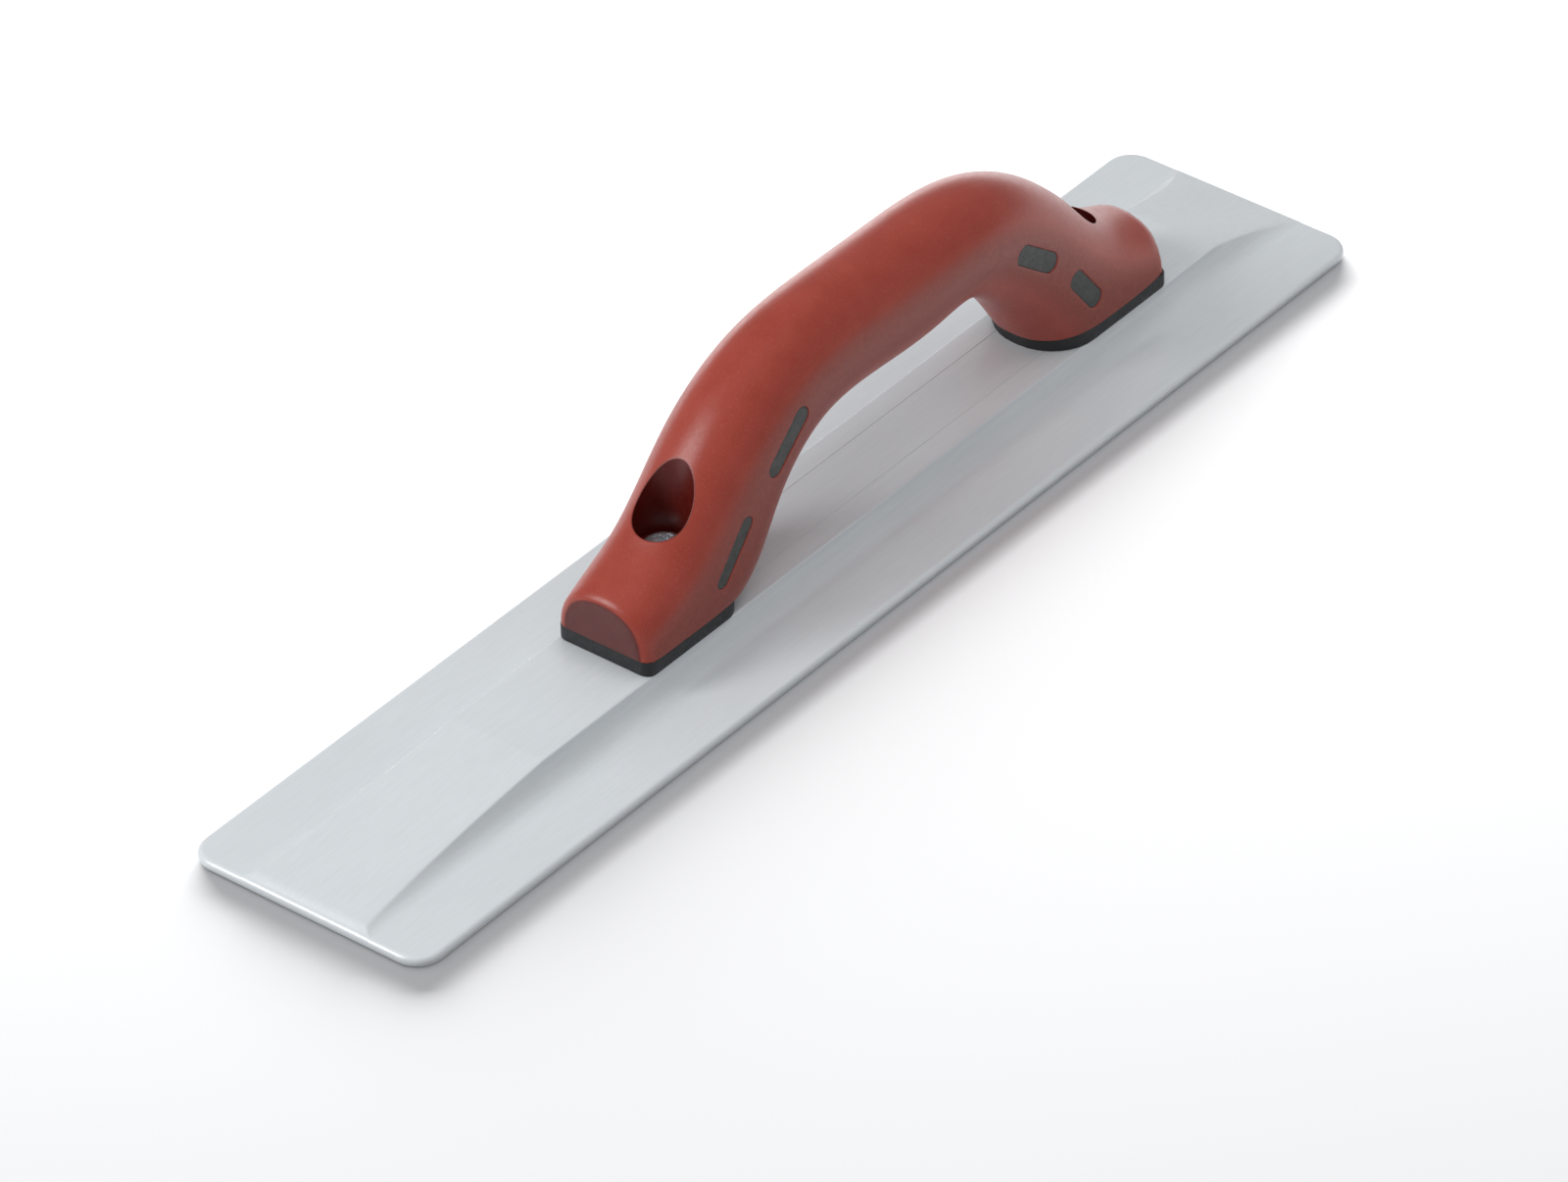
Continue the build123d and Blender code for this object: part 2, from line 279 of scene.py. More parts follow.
def soft_bend(start, bend, finish, shares):
    """Points of a curve that leaves its start towards a bend and ends at its finish."""
    return [start * (1 - t) ** 2 + bend * 2 * t * (1 - t) + finish * t**2 for t in shares]


def settle(piece, node):
    """Hands a finished piece over to the frame in place of its plain node."""
    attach(piece, "root")
    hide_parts(node)


# %% [markdown]
# ## Blade shape
# The blade is one magnesium casting: a flat flange with rounded corners and edges, and
# a rail along its middle whose sides sweep down to the flange in hollow coves. At both
# ends the rail is milled down to the flange in a long, flat ramp, so its outline opens
# out like the bow of a boat. A block with bevels would lose that outline, so the upper
# face is built as a grid that follows the shape: each line across the blade is worked
# out from the rail's height there, and its points stay on the rail's edges.

# %% Blade sizes
FLANGE = 3.2
RAIL_HEIGHT = RAIL_TOP - FLANGE
RAIL_FOOT = 22.35  # half the rail's width where its coves meet the flange
CORNER = 8.0
EDGE_ROUND = 1.4
RAIL_EDGE_ROUND = 0.7
WALL_SHARE = 0.8  # part of that rounding which lies on the cove's wall
LONG_RAMP = 79.0
SHORT_RAMP = 33.0
TOE = 3.2
TOE_HEIGHT = 1.2
TIP_HEIGHT = 0.15
SCRIBE_Y = 8.2
SCRIBE_HALF_WIDTH = 0.14
SCRIBE_DEPTH = 0.12
SCRIBE_ENDS = (70, 72)  # from the handle's middle; the lines fade out between these
MIDDLE_LINES = (0, 2.5, 5.0)
CORNER_STEPS = 8
COVE_STEPS = 9
FLANGE_STEPS = 4

inner_x = HALF_LENGTH - EDGE_ROUND  # the grid ends where the edge starts to round
inner_y = HALF_WIDTH - EDGE_ROUND
inner_corner = CORNER - EDGE_ROUND
ramp_start = LONG_RAMP - HALF_LENGTH
ramp_finish = HALF_LENGTH - SHORT_RAMP


def rail_height(x):
    """Height of the rail above the flange at a place along the blade."""
    places = [-inner_x, TOE - HALF_LENGTH, ramp_start, ramp_finish, inner_x]
    heights = [TIP_HEIGHT, TOE_HEIGHT, RAIL_HEIGHT, RAIL_HEIGHT, TIP_HEIGHT]
    return float(np.interp(x, places, heights))


def cove_point(drop):
    """Point of the cove, as (y, height above the flange), at an angle up from its foot."""
    return RAIL_FOOT - RAIL_HEIGHT * sin(drop), RAIL_HEIGHT * (1 - cos(drop))


def corner_lines(inner, steps):
    """Grid lines that meet on the corner's arc, from its start to the outermost line."""
    start = inner - inner_corner
    return [start + inner_corner * sin(pi / 2 * i / steps) for i in range(steps + 1)]


def half_section(x):
    """Points (y, z) of one side of the upper face at x, from the middle outwards."""
    height = rail_height(x)
    top = cove_point(np.arccos(1 - height / RAIL_HEIGHT))[0]
    ease = min(RAIL_EDGE_ROUND, height)
    flat_end = top - ease
    wall = np.arccos(1 - (height - WALL_SHARE * ease) / RAIL_HEIGHT)
    scribed = SCRIBE_DEPTH * float(np.interp(abs(x - HANDLE_X), SCRIBE_ENDS, (1, 0)))
    section = [(y, height) for y in (*MIDDLE_LINES, SCRIBE_Y - SCRIBE_HALF_WIDTH)]
    section.append((SCRIBE_Y, height - scribed))
    section.append((SCRIBE_Y + SCRIBE_HALF_WIDTH, height))
    section.append(((SCRIBE_Y + flat_end) / 2, height))
    # the rounded top edge, drawn as a soft curve from the flat to the wall of the cove
    start = np.array([flat_end, height])
    bend = np.array([top, height])
    section += soft_bend(start, bend, np.array(cove_point(wall)), (0, 0.25, 0.5, 0.75))
    section += [cove_point(wall * (1 - i / COVE_STEPS)) for i in range(COVE_STEPS + 1)]
    flat = np.linspace(RAIL_FOOT, inner_y - inner_corner, FLANGE_STEPS + 1)[1:-1]
    section += [(y, 0) for y in (*flat, *corner_lines(inner_y, CORNER_STEPS))]
    return [(y, FLANGE + z) for y, z in section]


print(f"rail {RAIL_HEIGHT:.1f} mm high, half section of {len(half_section(0))} points")

# %% [markdown]
# The lines across the blade stand close together where something changes: at the
# ramps' ends, round the two tapped holes and at the corners. In each corner the grid
# is cut off along the arc, because line i across meets line n - i along exactly on it.

# %% Blade mesh
HOLE_REACH = 5.0  # half the patch of grid that each tapped hole replaces
TAPPED_RADIUS = 3.15
TAPPED_FLOOR = 3.0
HOLE_POINTS = 32
LINE_STEP = 4.0  # between the lines across the level part of the rail
LINE_GAP = 3.0  # least distance from those lines to the short ramp
LONG_RAMP_LINES = 56
SHORT_RAMP_LINES = 24
CREASE_LINES = (0.4, -0.8)  # extra lines beside a ramp's top, inwards and outwards
EDGE_STEPS = 5


def blade_stations():
    """Places along the blade of the grid's lines, from end to end."""
    corner_start = corner_lines(inner_x, 1)[0]
    places = list(np.arange(ramp_start + LINE_STEP, ramp_finish - LINE_GAP, LINE_STEP))
    places += list(np.linspace(-corner_start, ramp_start, LONG_RAMP_LINES))
    places += list(np.linspace(ramp_finish, corner_start, SHORT_RAMP_LINES))
    for inwards in CREASE_LINES:
        places += [ramp_start + inwards, ramp_finish - inwards]
    for x in SCREW_X.values():
        places = [p for p in places if abs(p - x) > HOLE_REACH + 1]
        places += [x - HOLE_REACH, x, x + HOLE_REACH]
    for x in corner_lines(inner_x, CORNER_STEPS)[1:]:
        places += [x, -x]
    return sorted(set(round(float(p), 4) for p in places))


def ring_round(centre, radius, z, count):
    """A flat ring of points round an upright axis."""
    turns = [2 * pi * i / count for i in range(count)]
    return [(centre[0] + radius * cos(t), centre[1] + radius * sin(t), z) for t in turns]


stations = blade_stations()
blade_shell = Shell()
rows = []
for x in stations:
    outward = half_section(x)
    full = [(x, -y, z) for y, z in reversed(outward[1:])] + [(x, y, z) for y, z in outward]
    rows.append(blade_shell.add(full))
last_row, last_column = len(rows) - 1, len(rows[0]) - 1


def from_corner(index, last):
    """How many lines a grid line is inside the start of the nearest corner arc, or 0."""
    return max(0, CORNER_STEPS - min(index, last - index))


holes = {x: [] for x in SCREW_X.values()}
for i in range(last_row):
    for j in range(last_column):
        corners = [(i, j), (i + 1, j), (i + 1, j + 1), (i, j + 1)]
        middle = blade_shell.place([rows[a][b] for a, b in corners]).mean(axis=0)
        near = [x for x in holes if np.abs(middle[:2] - (x, 0)).max() < HOLE_REACH]
        if near:
            holes[near[0]].append([rows[a][b] for a, b in corners])
            continue
        kept = [
            rows[a][b]
            for a, b in corners
            if from_corner(a, last_row) + from_corner(b, last_column) <= CORNER_STEPS
        ]
        if len(kept) > 2:
            blade_shell.faces.append(tuple(kept))


def border(faces):
    """Closed ring of point numbers round a set of faces, in order."""
    edges = {}
    for face in faces:
        for a, b in zip(face, face[1:] + face[:1]):
            edges[(a, b)] = True
    step = {a: b for a, b in edges if (b, a) not in edges}
    ring = [min(step)]
    while step[ring[-1]] != ring[0]:
        ring.append(step[ring[-1]])
    return ring


for x, patch in holes.items():
    mouth = blade_shell.add(ring_round((x, 0), TAPPED_RADIUS, RAIL_TOP, HOLE_POINTS))
    blade_shell.zip_flat(border(patch), mouth, np.array([x, 0]))
    base = blade_shell.follow(mouth, ring_round((x, 0), TAPPED_RADIUS, TAPPED_FLOOR, HOLE_POINTS))
    blade_shell.faces.append(tuple(base))

# the rounded edge, carried from the grid's border down to the flat underside
flat_level = FLANGE - 0.01
upper = [list(f) for f in blade_shell.faces if blade_shell.place(f)[:, 2].min() > flat_level]
outline = border(upper + [face for patch in holes.values() for face in patch])
edge = blade_shell.place(outline)
core_corner = np.array([inner_x - inner_corner, inner_y - inner_corner])
away = edge[:, :2] - np.clip(edge[:, :2], -core_corner, core_corner)
away /= np.linalg.norm(away, axis=1)[:, None]


def edge_ring(turn, z):
    """The outline, carried outwards round the edge to an angle, at given heights."""
    plan = edge[:, :2] + away * (EDGE_ROUND * sin(turn))
    return np.column_stack([plan, np.broadcast_to(z, len(edge))])


quarter = np.linspace(0, pi / 2, EDGE_STEPS + 1)
fall = edge[:, 2] - FLANGE + EDGE_ROUND
rounds = [edge_ring(turn, edge[:, 2] - fall * (1 - cos(turn))) for turn in quarter[1:]]
rounds += [edge_ring(turn, EDGE_ROUND * (1 - cos(turn))) for turn in quarter[::-1]]
blade_shell.faces.append(tuple(blade_shell.follow(outline, *rounds)))
blade = blade_shell.build("magnesium_blade", crease=28)
settle(blade, "blade")

# %% [markdown]
# ## Handle shape
# The handle is a bar about 31 mm wide that rises from the front foot, runs level over
# the fingers and comes down steeply to the rear foot. Lofting it through its cross
# sections gives the smooth flow of a moulded grip, but the ends need more: each foot is
# cut off upright at its end and flat on its seat, and those cuts meet the flowing part
# in small rounded edges. So the shape is first written as a rule that says how far a
# point lies outside the handle, and the mesh is then found by shooting rays at it from
# the inside. Any point of the surface can be had that way, on the bar or on a cut.

# %% Handle sections
# each section: top (x, z), under (x, z), swell on each side, upper and lower roundness,
# measured from the middle of the seat plane; roundness 2 is an ellipse, more is squarer
SECTIONS = np.array(
    [
        (-134.5, 1.0, -112.5, -31.0, 0.3, 2.3, 5.0),
        (-114.0, 14.0, -93.5, -11.0, 0.4, 2.3, 5.0),
        (-96.0, 24.0, -71.5, -2.0, 0.7, 2.3, 5.0),
        (-72.5, 46.8, -55.0, 16.0, 0.7, 2.2, 3.5),
        (-44.5, 61.8, -36.5, 28.0, 0.1, 2.1, 2.4),
        (-13.5, 64.1, -13.5, 30.4, 0.0, 2.1, 2.2),
        (13.0, 63.8, 12.0, 29.8, 0.1, 2.1, 2.2),
        (44.0, 61.0, 31.3, 30.4, -0.2, 2.1, 2.2),
        (72.5, 45.5, 51.0, 17.5, -0.6, 2.1, 2.5),
        (98.5, 21.5, 67.5, -4.5, 0.6, 2.2, 2.8),
        (119.5, 11.5, 86.5, -22.0, 0.7, 2.3, 5.0),
        (139.0, -0.5, 107.5, -38.0, 0.3, 2.3, 5.0),
    ]
)
GRIP_HALF_WIDTH = 15.6
HALF_SPAN = (REAR_END - FRONT_END) / 2
FACET_ROUND = 1.3  # rounding round a foot's upright end
FOOT_CORNER = 3.4  # the same rounding at the seat
FACET_TOP = 10.0  # height over which one becomes the other
FLOW_STEPS = 1600
SEARCH_STEPS = 20  # halvings of the bar's length
RAY_STEPS = 22  # halvings of a ray
RAY_LENGTH = 60.0


def smooth_rows(knots, rows, places):
    """Reads rows of numbers between their knots, along natural cubic curves."""
    steps = np.diff(knots)
    system = np.eye(len(knots))
    bending = np.zeros_like(rows)
    for i in range(1, len(knots) - 1):
        system[i, i - 1 : i + 2] = steps[i - 1], 2 * (steps[i - 1] + steps[i]), steps[i]
        after, before = (rows[i + 1] - rows[i]) / steps[i], (rows[i] - rows[i - 1]) / steps[i - 1]
        bending[i] = 6 * (after - before)
    bend = np.linalg.solve(system, bending)
    i = np.clip(np.searchsorted(knots, places, side="right") - 1, 0, len(steps) - 1)
    h = steps[i][:, None]
    left, right = (knots[i + 1] - places)[:, None], (places - knots[i])[:, None]
    curve = (bend[i] * left**3 + bend[i + 1] * right**3) / (6 * h)
    leaving = (rows[i] / h - bend[i] * h / 6) * left
    arriving = (rows[i + 1] / h - bend[i + 1] * h / 6) * right
    return curve + leaving + arriving


middles = (SECTIONS[:, 0:2] + SECTIONS[:, 2:4]) / 2
knots = np.concatenate([[0], np.cumsum(np.linalg.norm(np.diff(middles, axis=0), axis=1))])
ALONG = np.linspace(0, knots[-1], FLOW_STEPS)
FLOW = smooth_rows(knots, SECTIONS, ALONG)
print(f"handle bar {knots[-1]:.0f} mm long through {len(SECTIONS)} sections")


def read_flow(s, *columns):
    """Section values at distances s along the bar."""
    return [np.interp(s, ALONG, FLOW[:, c]) for c in columns]


def section_through(x, z):
    """Distance along the bar of the section whose line passes through each point."""
    low, high = np.zeros_like(x), np.full_like(x, knots[-1])
    for _ in range(SEARCH_STEPS):
        s = (low + high) / 2
        top_x, top_z, under_x, under_z = read_flow(s, 0, 1, 2, 3)
        ahead = (top_x - under_x) * (z - under_z) - (top_z - under_z) * (x - under_x) < 0
        low, high = np.where(ahead, s, low), np.where(ahead, high, s)
    return (low + high) / 2


def outside(points, inset):
    """How far points lie outside the handle drawn inset, in millimetres; inside is negative."""
    x, y, z = points.T
    s = section_through(x, z)
    top_x, top_z, under_x, under_z, swell, upper, lower = read_flow(s, *range(7))
    reach_x, reach_z = (top_x - under_x) / 2, (top_z - under_z) / 2
    half_height = np.hypot(reach_x, reach_z)
    up = ((x - under_x - reach_x) * reach_x + (z - under_z - reach_z) * reach_z) / half_height
    roundness = np.where(up > 0, upper, lower)
    half_width = GRIP_HALF_WIDTH + swell - inset
    half_height = half_height - inset
    gauge = (np.abs(y) / half_width) ** roundness + (np.abs(up) / half_height) ** roundness
    bar = (gauge ** (1 / roundness) - 1) * np.minimum(half_width, half_height)
    facet = np.abs(x) - HALF_SPAN + inset
    ease = np.interp(z, (0, FACET_TOP), (FOOT_CORNER, FACET_ROUND))
    over_bar, over_facet = np.maximum(bar + ease, 0), np.maximum(facet + ease, 0)
    return np.minimum(np.maximum(bar, facet), -ease) + np.hypot(over_bar, over_facet)


def shoot(starts, directions, inset):
    """Where rays from inside the handle meet its surface."""
    starts, directions = np.broadcast_arrays(np.array(starts, float), np.array(directions, float))
    near, far = np.zeros(len(starts)), np.full(len(starts), RAY_LENGTH)
    for _ in range(RAY_STEPS):
        reach = (near + far) / 2
        out = outside(starts + directions * reach[:, None], inset) > 0
        near, far = np.where(out, near, reach), np.where(out, reach, far)
    return starts + directions * ((near + far) / 2)[:, None]


# %% [markdown]
# The mesh of the handle is a grid of rings. Over the fingers each ring lies square
# across the bar. In a foot the rings fan round a hinge line just behind its heel, from
# the bar's slope down to the flat seat, so that the last ring is the foot's outline.

# %% Rings of the handle
RING_POINTS = 96
RING_STEP = 1.25  # between rings, along the bar
FAN_STEP = radians(1.3)  # between rings, in a foot
FRONT_HINGE = (-65.0, 0.0)
REAR_HINGE = (59.0, 0.0)
FOOT_MIDDLE = 26.0  # from a hinge to the middle of its foot
SEAT_SPREAD = 6.0  # added to a slice's half height at the seat


def section_slice(s):
    """A slice of the bar: its middle (x, z), its upward direction and its half height."""
    top_x, top_z, under_x, under_z = (float(v[0]) for v in read_flow(np.array([s]), 0, 1, 2, 3))
    reach = np.array([top_x - under_x, top_z - under_z]) / 2
    half_height = np.linalg.norm(reach)
    return (top_x - reach[0], top_z - reach[1], *(reach / half_height), half_height)


def foot_slices(hinge, s, facing):
    """Slices that fan round a hinge from the seat up to the bar's section at s."""
    x, z, up_x, up_z, half_height = section_slice(s)
    last = atan2(up_z, facing * up_x)
    finish = np.hypot(x - hinge[0], z - hinge[1])
    fan = []
    for turn in np.arange(0, last, FAN_STEP):
        share = turn / last
        reach = FOOT_MIDDLE * (1 - share) + finish * share
        upward = np.array([facing * cos(turn), sin(turn)])
        spread = half_height + SEAT_SPREAD * (1 - share)
        fan.append((*(hinge + upward * reach), *upward, spread))
    return fan


front_s, rear_s = (
    float(section_through(np.array([x]), np.array([z]))[0]) for x, z in (FRONT_HINGE, REAR_HINGE)
)
slices = foot_slices(FRONT_HINGE, front_s, -1)
slices += [section_slice(s) for s in np.arange(front_s, rear_s, RING_STEP)]
slices += foot_slices(REAR_HINGE, rear_s, 1)[::-1]
slices = np.array(slices)
turns = np.arange(RING_POINTS) * 2 * pi / RING_POINTS
print(f"{len(slices)} rings of {RING_POINTS} points, from s = {front_s:.0f} to {rear_s:.0f} mm")

# %% [markdown]
# The grip is pierced on top by two screw pockets and on its sides by eight windows that
# show the hard core. Cutting them with a boolean would leave ragged slivers round each
# rim, just where the light catches. Instead a patch of the grid is left out round each
# opening, and rings lead from the patch's border to the opening's true outline, which
# is drawn on a flat plan and thrown onto the surface. Every rim is then one clean ring.

# %% Openings of the handle
SKIN = 3.0  # soft grip over the core
POCKET_RADIUS = 8.2
POCKET_FLOOR = 15.3  # above the seat
LINING = 1.5  # soft lining of a pocket's wall
LINING_FLOOR = 2.0
CORE_FLOOR = POCKET_FLOOR - LINING_FLOOR
POCKET_RIM = 0.4  # rounding of a pocket's mouth
WINDOW_RIM = 0.45
RIM_SHARES = (0.2, 0.4, 0.6, 0.8, 1)
POCKET_START = 8.0  # height inside the handle from which a pocket's outline is thrown
UP = (0, 0, 1)
# patches of grid: columns on each side of the middle, rings kept clear beyond each end
# in mm, and rings that lead in to the opening
POCKET_PATCH = (12, 3.2, 6)
WINDOW_PATCH = (6, 2.6, 3)

# windows on each side: middle (x, z), length, width and slope in degrees
WINDOWS = [
    ((-78.2, 15.8), 20.8, 4.6, 51.0),
    ((-54.5, 38.0), 20.8, 5.8, 40.0),
    ((55.5, 35.4), 20.8, 6.2, -37.0),
    ((76.5, 14.3), 17.8, 5.8, -53.0),
]
WINDOW_CORNER = 0.49  # corner radius as a share of the width


def side_of_outline(half_run, half_other, corner, count):
    """Points along one side of a rounded rectangle, from corner middle to corner middle."""
    arc, straight = corner * pi / 4, 2 * (half_run - corner)
    run = (2 * arc + straight) * np.arange(count) / count - arc
    on_line = np.clip(run, 0, straight)
    turn = 3 * pi / 2 + (run - on_line) / corner
    x = corner - half_run + on_line
    return x + corner * np.cos(turn), corner - half_other + corner * np.sin(turn)


class Opening:
    """An outline on a flat plan, thrown onto the handle along a direction."""

    def __init__(self, centre, along, half_sizes, corner, toward):
        self.centre = np.array(centre, float)
        self.along = np.array(along, float)
        self.toward = np.array(toward, float)
        self.upright = toward == UP
        across = np.array([-self.along[1], self.along[0]])
        self.across = -across if self.upright or toward[1] < 0 else across
        self.half_sizes = half_sizes
        self.corner = corner
        self.rim = POCKET_RIM if self.upright else WINDOW_RIM
        self.lining = LINING if self.upright else 0

    def frame_patch(self, surface, middle):
        """Chooses the rings and columns of the grid that the opening's patch replaces."""
        reach, margin, self.lead = POCKET_PATCH if self.upright else WINDOW_PATCH
        self.columns = [(middle + k) % RING_POINTS for k in range(-reach, reach + 1)]
        away = np.abs((self.flat(surface[:, middle]) - self.centre) @ self.along)
        rows = np.flatnonzero(away < self.half_sizes[0] + margin)
        self.rows = list(range(rows.min(), rows.max() + 1))

    def patch_border(self):
        """Grid places (ring, column) round the patch, side by side from its first corner."""
        r, c = self.rows, self.columns
        places = [(i, c[0]) for i in r[:-1]] + [(r[-1], j) for j in c[:-1]]
        return places + [(i, c[-1]) for i in r[:0:-1]] + [(r[0], j) for j in c[:0:-1]]

    def flat(self, points):
        """Solid points on the opening's plan."""
        return points[:, :2] if self.upright else points[:, [0, 2]]

    def outline(self, growth):
        """The outline on the plan, grown outwards, matched to the patch's border."""
        half_along, half_across = (h + growth for h in self.half_sizes)
        steps = len(self.rows) - 1, len(self.columns) - 1
        plan = []
        for side in range(4):
            sizes = (half_along, half_across) if side % 2 == 0 else (half_across, half_along)
            turn = side * pi / 2
            run, other = side_of_outline(*sizes, self.corner + growth, steps[side % 2])
            a, b = run * cos(turn) - other * sin(turn), run * sin(turn) + other * cos(turn)
            plan.append(self.centre + np.outer(a, self.along) + np.outer(b, self.across))
        return np.concatenate(plan)

    def thrown(self, plan, inset):
        """Plan points thrown onto the handle drawn inset."""
        level = np.full(len(plan), POCKET_START if self.upright else 0.0)
        starts = np.column_stack(
            [plan[:, 0], plan[:, 1], level] if self.upright else [plan[:, 0], level, plan[:, 1]]
        )
        return shoot(starts, self.toward, inset)

    def level_ring(self, growth, z):
        """The outline at one height above the seat."""
        return at_height(self.outline(growth), z)

    def rolled_in(self):
        """Rings that roll from the grip's surface round the rim into the opening."""
        start = self.thrown(self.outline(self.rim), 0)
        bend = self.thrown(self.outline(0), 0)
        return soft_bend(start, bend, bend - self.toward * self.rim, RIM_SHARES)


def at_height(plan, z):
    """Points of a flat plan at one height."""
    return np.column_stack([plan, np.full(len(plan), z)])


def make_openings(surface):
    """All the openings, with the patches of grid that they replace."""
    openings = {}
    for end, x in SCREW_X.items():
        pocket = Opening((x - HANDLE_X, 0), (1, 0), (POCKET_RADIUS,) * 2, POCKET_RADIUS, UP)
        pocket.frame_patch(surface, RING_POINTS // 4)
        openings[f"{end}_pocket"] = pocket
    for number, (centre, length, width, slope) in enumerate(WINDOWS):
        along = (cos(radians(slope)), sin(radians(slope)))
        for facing, middle in ((1, 0), (-1, RING_POINTS // 2)):
            half_sizes = (length / 2, width / 2)
            window = Opening(centre, along, half_sizes, WINDOW_CORNER * width, (0, facing, 0))
            window.frame_patch(surface, middle)
            openings[f"window_{number}_{facing}"] = window
    return openings


def ring_surface(inset):
    """All the rings' points on the handle drawn inset, as rings by columns by xyz."""
    middle = np.repeat(slices[:, None, :], RING_POINTS, axis=1).reshape(-1, 5)
    turn = np.tile(turns, len(slices))
    upward, sideways = middle[:, 4] * np.sin(turn), GRIP_HALF_WIDTH * np.cos(turn)
    directions = np.column_stack([middle[:, 2] * upward, sideways, middle[:, 3] * upward])
    directions /= np.linalg.norm(directions, axis=1)[:, None]
    starts = np.column_stack([middle[:, 0], np.zeros(len(middle)), middle[:, 1]])
    return shoot(starts, directions, inset).reshape(len(slices), RING_POINTS, 3)


outer_surface = ring_surface(0)
inner_surface = ring_surface(SKIN)
openings = make_openings(outer_surface)
for name, opening in openings.items():
    print(f"{name}: patch of {len(opening.rows) - 1} x {len(opening.columns) - 1} faces")

# %% [markdown]
# One layer of the handle is its grid with all the openings led in. The soft grip needs
# two layers, its skin and the cavity that the core fills; the core needs one. Each
# opening hands back its ring, so that rims, walls and floors can be carried on from it.

# %% One layer of the handle
SEAT_SHIFT = np.array([HANDLE_X, 0, SEAT_Z])


class HandleShell(Shell):
    """A shell drawn from the middle of the handle's seat."""

    def add(self, points):
        return super().add(np.asarray(points, float) + SEAT_SHIFT)

    def add_layer(self, surface, inset):
        """Adds a layer; returns the ring of each opening and the two seat outlines."""
        numbers = np.array(self.add(surface.reshape(-1, 3))).reshape(surface.shape[:2])
        patches = set()
        for opening in openings.values():
            patches |= {(i, j) for i in opening.rows[:-1] for j in opening.columns[:-1]}
        self.grid(np.column_stack([numbers, numbers[:, 0]]), patches)
        rings = {}
        for name, opening in openings.items():
            places = opening.patch_border()
            ring = [int(numbers[place]) for place in places]
            flat_start = opening.flat(np.array([surface[place] for place in places]))
            flat_end = opening.outline(opening.lining if inset else opening.rim)
            for share in np.linspace(0, 1, opening.lead + 1)[1:]:
                plan = flat_start * (1 - share) + flat_end * share
                ring = self.follow(ring, opening.thrown(plan, inset))
            rings[name] = ring
        return rings, (numbers[0].tolist(), numbers[-1].tolist())


# %% [markdown]
# ## Soft grip
# The grip is a 3 mm skin of soft thermoplastic rubber, moulded round the core. Its
# skin layer rolls into each opening; a window's wall runs in to the cavity, and a
# pocket has a lining that goes down to a floor with a hole for the screw's washer.

# %% Soft grip mesh
WASHER_HOLE = 6.6
FLOOR_ROUND = 0.7
BEND = 0.3  # middle ring of a small rounded edge, as a share of its radius

grip_shell = HandleShell()
skin_rings, skin_seats = grip_shell.add_layer(outer_surface, 0)
cavity_rings, cavity_seats = grip_shell.add_layer(inner_surface, SKIN)
for name, opening in openings.items():
    ring = grip_shell.follow(skin_rings[name], *opening.rolled_in())
    if opening.upright:
        to_hole = WASHER_HOLE - POCKET_RADIUS
        ring = grip_shell.follow(
            ring,
            opening.level_ring(0, POCKET_FLOOR + FLOOR_ROUND),
            opening.level_ring(-BEND * FLOOR_ROUND, POCKET_FLOOR + BEND * FLOOR_ROUND),
            opening.level_ring(-FLOOR_ROUND, POCKET_FLOOR),
            opening.level_ring(to_hole, POCKET_FLOOR),
            opening.level_ring(to_hole, CORE_FLOOR),
            opening.level_ring(LINING, CORE_FLOOR),
        )
    grip_shell.band(ring, cavity_rings[name])
for skin_seat, cavity_seat in zip(skin_seats, cavity_seats):
    grip_shell.band(skin_seat, cavity_seat)
grip = grip_shell.build("soft_grip_skin")
settle(grip, "soft_grip")

# %% [markdown]
# ## Handle core
# The core is hard dark plastic. Four places of it show: the flange under each foot and
# the bars that fill the windows, a hair below the grip's surface. It is one closed
# body: the cavity's layer, pads raised into the windows, a well for each pocket and a
# hole for each screw, ending in the two flanges that stand on the blade.

# %% Handle core mesh
PAD_RECESS = 0.25
PAD_ROUND = 0.2
SHANK_HOLE = 3.45
BASE_THICKNESS = SEAT_Z - RAIL_TOP
BASE_MARGIN = 0.1
BASE_ROUND = 0.5
FLANGE_HALF_WIDTH = 15.9
FLANGE_CORNER_POINTS = 9
# each foot: length, radius of its outer and inner corners, inward direction
FEET = {"front": (40.5, FOOT_CORNER, 7.0, 1), "rear": (49.0, FOOT_CORNER, 15.0, -1)}


def flange_outline(end, shrink):
    """Outline of a foot's flange from above, drawn inwards by a distance."""
    length, outer_round, inner_round, inward = FEET[end]
    outer = inward * (BASE_MARGIN + shrink - HALF_SPAN)
    inner = inward * (length - shrink - HALF_SPAN)
    half = FLANGE_HALF_WIDTH - shrink
    points = []
    quarters = ((outer, -1, outer_round), (inner, -1, inner_round))
    quarters += ((inner, 1, inner_round), (outer, 1, outer_round))
    for turn, (x, y_side, radius) in enumerate(quarters):
        radius -= shrink
        into = inward if x == outer else -inward
        centre = (x + into * radius, y_side * (half - radius))
        start = pi + turn * pi / 2
        for t in np.linspace(start, start + pi / 2, FLANGE_CORNER_POINTS):
            points.append((centre[0] + inward * radius * cos(t), centre[1] + radius * sin(t)))
    return np.array(points)


